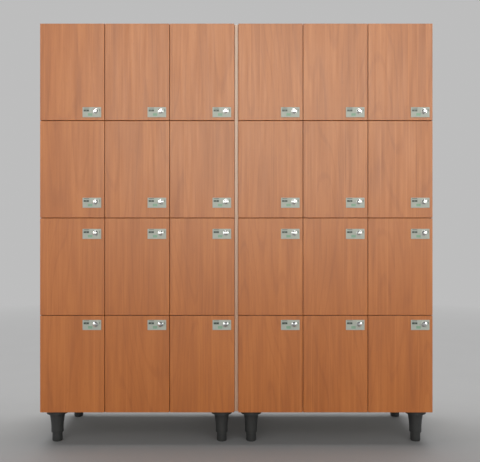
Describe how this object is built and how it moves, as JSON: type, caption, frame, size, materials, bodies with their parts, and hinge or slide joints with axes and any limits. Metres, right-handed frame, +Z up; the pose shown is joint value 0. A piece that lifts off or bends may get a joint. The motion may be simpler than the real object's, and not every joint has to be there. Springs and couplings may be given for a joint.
{
  "type": "coin operated locker",
  "caption": "Two joined banks of wood-faced coin lockers on adjustable legs, with hinged overlay doors and a turning coin lock on each door.",
  "frame": {"origin": "on the floor, at the middle of the outline seen from above", "axes": "+X to the right as seen by a user facing the doors, +Y to the back, +Z up; the doors face -Y"},
  "size_m": [1.816, 0.53, 1.95],
  "materials": {
    "door_laminate": "satin reddish-brown vertical wood grain laminate",
    "carcass_board": "pale grey-beige melamine board",
    "filler_laminate": "pale grey-beige laminate strip",
    "lock_chrome": "polished chrome plate",
    "leg_plastic": "black moulded plastic, finely textured"
  },
  "bodies": {
    "root": {"carcass_left": "carcass_board", "carcass_right": "carcass_board", "front_filler_strip": "filler_laminate", "rear_filler_strip": "filler_laminate", "leg_left_front_outer": "leg_plastic", "leg_left_front_inner": "leg_plastic", "leg_left_rear_outer": "leg_plastic", "leg_left_rear_inner": "leg_plastic", "leg_right_front_outer": "leg_plastic", "leg_right_front_inner": "leg_plastic", "leg_right_rear_outer": "leg_plastic", "leg_right_rear_inner": "leg_plastic"},
    "door_01": {"door_01": "door_laminate"},
    "key_01": {"key_01": "lock_chrome"},
    "door_02": {"door_02": "door_laminate"},
    "key_02": {"key_02": "lock_chrome"},
    "door_03": {"door_03": "door_laminate"},
    "key_03": {"key_03": "lock_chrome"},
    "door_04": {"door_04": "door_laminate"},
    "key_04": {"key_04": "lock_chrome"},
    "door_05": {"door_05": "door_laminate"},
    "key_05": {"key_05": "lock_chrome"},
    "door_06": {"door_06": "door_laminate"},
    "key_06": {"key_06": "lock_chrome"},
    "door_07": {"door_07": "door_laminate"},
    "key_07": {"key_07": "lock_chrome"},
    "door_08": {"door_08": "door_laminate"},
    "key_08": {"key_08": "lock_chrome"},
    "door_09": {"door_09": "door_laminate"},
    "key_09": {"key_09": "lock_chrome"},
    "door_10": {"door_10": "door_laminate"},
    "key_10": {"key_10": "lock_chrome"},
    "door_11": {"door_11": "door_laminate"},
    "key_11": {"key_11": "lock_chrome"},
    "door_12": {"door_12": "door_laminate"},
    "key_12": {"key_12": "lock_chrome"},
    "door_13": {"door_13": "door_laminate"},
    "key_13": {"key_13": "lock_chrome"},
    "door_14": {"door_14": "door_laminate"},
    "key_14": {"key_14": "lock_chrome"},
    "door_15": {"door_15": "door_laminate"},
    "key_15": {"key_15": "lock_chrome"},
    "door_16": {"door_16": "door_laminate"},
    "key_16": {"key_16": "lock_chrome"},
    "door_17": {"door_17": "door_laminate"},
    "key_17": {"key_17": "lock_chrome"},
    "door_18": {"door_18": "door_laminate"},
    "key_18": {"key_18": "lock_chrome"},
    "door_19": {"door_19": "door_laminate"},
    "key_19": {"key_19": "lock_chrome"},
    "door_20": {"door_20": "door_laminate"},
    "key_20": {"key_20": "lock_chrome"},
    "door_21": {"door_21": "door_laminate"},
    "key_21": {"key_21": "lock_chrome"},
    "door_22": {"door_22": "door_laminate"},
    "key_22": {"key_22": "lock_chrome"},
    "door_23": {"door_23": "door_laminate"},
    "key_23": {"key_23": "lock_chrome"},
    "door_24": {"door_24": "door_laminate"},
    "key_24": {"key_24": "lock_chrome"}
  },
  "joints": [
    {"name": "door_01_hinge", "type": "hinge", "parent": "root", "child": "door_01", "pos_m": [-0.9065, -0.25, 1.725], "axis": [0, 0, -1], "range_deg": [0, 110]},
    {"name": "key_01_turn", "type": "hinge", "parent": "door_01", "child": "key_01", "pos_m": [-0.6489, -0.25, 1.5432], "axis": [0, 1, 0], "range_deg": [0, 90]},
    {"name": "door_02_hinge", "type": "hinge", "parent": "root", "child": "door_02", "pos_m": [-0.9065, -0.25, 1.275], "axis": [0, 0, -1], "range_deg": [0, 110]},
    {"name": "key_02_turn", "type": "hinge", "parent": "door_02", "child": "key_02", "pos_m": [-0.6489, -0.25, 1.1252], "axis": [0, 1, 0], "range_deg": [0, 90]},
    {"name": "door_03_hinge", "type": "hinge", "parent": "root", "child": "door_03", "pos_m": [-0.9065, -0.25, 0.825], "axis": [0, 0, -1], "range_deg": [0, 110]},
    {"name": "key_03_turn", "type": "hinge", "parent": "door_03", "child": "key_03", "pos_m": [-0.6489, -0.25, 0.9814], "axis": [0, -1, 0], "range_deg": [0, 90]},
    {"name": "door_04_hinge", "type": "hinge", "parent": "root", "child": "door_04", "pos_m": [-0.9065, -0.25, 0.375], "axis": [0, 0, -1], "range_deg": [0, 110]},
    {"name": "key_04_turn", "type": "hinge", "parent": "door_04", "child": "key_04", "pos_m": [-0.6489, -0.25, 0.5608], "axis": [0, -1, 0], "range_deg": [0, 90]},
    {"name": "door_05_hinge", "type": "hinge", "parent": "root", "child": "door_05", "pos_m": [-0.6065, -0.25, 1.725], "axis": [0, 0, -1], "range_deg": [0, 110]},
    {"name": "key_05_turn", "type": "hinge", "parent": "door_05", "child": "key_05", "pos_m": [-0.3489, -0.25, 1.5432], "axis": [0, 1, 0], "range_deg": [0, 90]},
    {"name": "door_06_hinge", "type": "hinge", "parent": "root", "child": "door_06", "pos_m": [-0.6065, -0.25, 1.275], "axis": [0, 0, -1], "range_deg": [0, 110]},
    {"name": "key_06_turn", "type": "hinge", "parent": "door_06", "child": "key_06", "pos_m": [-0.3489, -0.25, 1.1252], "axis": [0, 1, 0], "range_deg": [0, 90]},
    {"name": "door_07_hinge", "type": "hinge", "parent": "root", "child": "door_07", "pos_m": [-0.6065, -0.25, 0.825], "axis": [0, 0, -1], "range_deg": [0, 110]},
    {"name": "key_07_turn", "type": "hinge", "parent": "door_07", "child": "key_07", "pos_m": [-0.3489, -0.25, 0.9814], "axis": [0, -1, 0], "range_deg": [0, 90]},
    {"name": "door_08_hinge", "type": "hinge", "parent": "root", "child": "door_08", "pos_m": [-0.6065, -0.25, 0.375], "axis": [0, 0, -1], "range_deg": [0, 110]},
    {"name": "key_08_turn", "type": "hinge", "parent": "door_08", "child": "key_08", "pos_m": [-0.3489, -0.25, 0.5608], "axis": [0, -1, 0], "range_deg": [0, 90]},
    {"name": "door_09_hinge", "type": "hinge", "parent": "root", "child": "door_09", "pos_m": [-0.3065, -0.25, 1.725], "axis": [0, 0, -1], "range_deg": [0, 110]},
    {"name": "key_09_turn", "type": "hinge", "parent": "door_09", "child": "key_09", "pos_m": [-0.0489, -0.25, 1.5432], "axis": [0, 1, 0], "range_deg": [0, 90]},
    {"name": "door_10_hinge", "type": "hinge", "parent": "root", "child": "door_10", "pos_m": [-0.3065, -0.25, 1.275], "axis": [0, 0, -1], "range_deg": [0, 110]},
    {"name": "key_10_turn", "type": "hinge", "parent": "door_10", "child": "key_10", "pos_m": [-0.0489, -0.25, 1.1252], "axis": [0, 1, 0], "range_deg": [0, 90]},
    {"name": "door_11_hinge", "type": "hinge", "parent": "root", "child": "door_11", "pos_m": [-0.3065, -0.25, 0.825], "axis": [0, 0, -1], "range_deg": [0, 110]},
    {"name": "key_11_turn", "type": "hinge", "parent": "door_11", "child": "key_11", "pos_m": [-0.0489, -0.25, 0.9814], "axis": [0, -1, 0], "range_deg": [0, 90]},
    {"name": "door_12_hinge", "type": "hinge", "parent": "root", "child": "door_12", "pos_m": [-0.3065, -0.25, 0.375], "axis": [0, 0, -1], "range_deg": [0, 110]},
    {"name": "key_12_turn", "type": "hinge", "parent": "door_12", "child": "key_12", "pos_m": [-0.0489, -0.25, 0.5608], "axis": [0, -1, 0], "range_deg": [0, 90]},
    {"name": "door_13_hinge", "type": "hinge", "parent": "root", "child": "door_13", "pos_m": [0.0095, -0.25, 1.725], "axis": [0, 0, -1], "range_deg": [0, 110]},
    {"name": "key_13_turn", "type": "hinge", "parent": "door_13", "child": "key_13", "pos_m": [0.2671, -0.25, 1.5432], "axis": [0, 1, 0], "range_deg": [0, 90]},
    {"name": "door_14_hinge", "type": "hinge", "parent": "root", "child": "door_14", "pos_m": [0.0095, -0.25, 1.275], "axis": [0, 0, -1], "range_deg": [0, 110]},
    {"name": "key_14_turn", "type": "hinge", "parent": "door_14", "child": "key_14", "pos_m": [0.2671, -0.25, 1.1252], "axis": [0, 1, 0], "range_deg": [0, 90]},
    {"name": "door_15_hinge", "type": "hinge", "parent": "root", "child": "door_15", "pos_m": [0.0095, -0.25, 0.825], "axis": [0, 0, -1], "range_deg": [0, 110]},
    {"name": "key_15_turn", "type": "hinge", "parent": "door_15", "child": "key_15", "pos_m": [0.2671, -0.25, 0.9814], "axis": [0, -1, 0], "range_deg": [0, 90]},
    {"name": "door_16_hinge", "type": "hinge", "parent": "root", "child": "door_16", "pos_m": [0.0095, -0.25, 0.375], "axis": [0, 0, -1], "range_deg": [0, 110]},
    {"name": "key_16_turn", "type": "hinge", "parent": "door_16", "child": "key_16", "pos_m": [0.2671, -0.25, 0.5608], "axis": [0, -1, 0], "range_deg": [0, 90]},
    {"name": "door_17_hinge", "type": "hinge", "parent": "root", "child": "door_17", "pos_m": [0.3095, -0.25, 1.725], "axis": [0, 0, -1], "range_deg": [0, 110]},
    {"name": "key_17_turn", "type": "hinge", "parent": "door_17", "child": "key_17", "pos_m": [0.5671, -0.25, 1.5432], "axis": [0, 1, 0], "range_deg": [0, 90]},
    {"name": "door_18_hinge", "type": "hinge", "parent": "root", "child": "door_18", "pos_m": [0.3095, -0.25, 1.275], "axis": [0, 0, -1], "range_deg": [0, 110]},
    {"name": "key_18_turn", "type": "hinge", "parent": "door_18", "child": "key_18", "pos_m": [0.5671, -0.25, 1.1252], "axis": [0, 1, 0], "range_deg": [0, 90]},
    {"name": "door_19_hinge", "type": "hinge", "parent": "root", "child": "door_19", "pos_m": [0.3095, -0.25, 0.825], "axis": [0, 0, -1], "range_deg": [0, 110]},
    {"name": "key_19_turn", "type": "hinge", "parent": "door_19", "child": "key_19", "pos_m": [0.5671, -0.25, 0.9814], "axis": [0, -1, 0], "range_deg": [0, 90]},
    {"name": "door_20_hinge", "type": "hinge", "parent": "root", "child": "door_20", "pos_m": [0.3095, -0.25, 0.375], "axis": [0, 0, -1], "range_deg": [0, 110]},
    {"name": "key_20_turn", "type": "hinge", "parent": "door_20", "child": "key_20", "pos_m": [0.5671, -0.25, 0.5608], "axis": [0, -1, 0], "range_deg": [0, 90]},
    {"name": "door_21_hinge", "type": "hinge", "parent": "root", "child": "door_21", "pos_m": [0.6095, -0.25, 1.725], "axis": [0, 0, -1], "range_deg": [0, 110]},
    {"name": "key_21_turn", "type": "hinge", "parent": "door_21", "child": "key_21", "pos_m": [0.8671, -0.25, 1.5432], "axis": [0, 1, 0], "range_deg": [0, 90]},
    {"name": "door_22_hinge", "type": "hinge", "parent": "root", "child": "door_22", "pos_m": [0.6095, -0.25, 1.275], "axis": [0, 0, -1], "range_deg": [0, 110]},
    {"name": "key_22_turn", "type": "hinge", "parent": "door_22", "child": "key_22", "pos_m": [0.8671, -0.25, 1.1252], "axis": [0, 1, 0], "range_deg": [0, 90]},
    {"name": "door_23_hinge", "type": "hinge", "parent": "root", "child": "door_23", "pos_m": [0.6095, -0.25, 0.825], "axis": [0, 0, -1], "range_deg": [0, 110]},
    {"name": "key_23_turn", "type": "hinge", "parent": "door_23", "child": "key_23", "pos_m": [0.8671, -0.25, 0.9814], "axis": [0, -1, 0], "range_deg": [0, 90]},
    {"name": "door_24_hinge", "type": "hinge", "parent": "root", "child": "door_24", "pos_m": [0.6095, -0.25, 0.375], "axis": [0, 0, -1], "range_deg": [0, 110]},
    {"name": "key_24_turn", "type": "hinge", "parent": "door_24", "child": "key_24", "pos_m": [0.8671, -0.25, 0.5608], "axis": [0, -1, 0], "range_deg": [0, 90]}
  ]
}
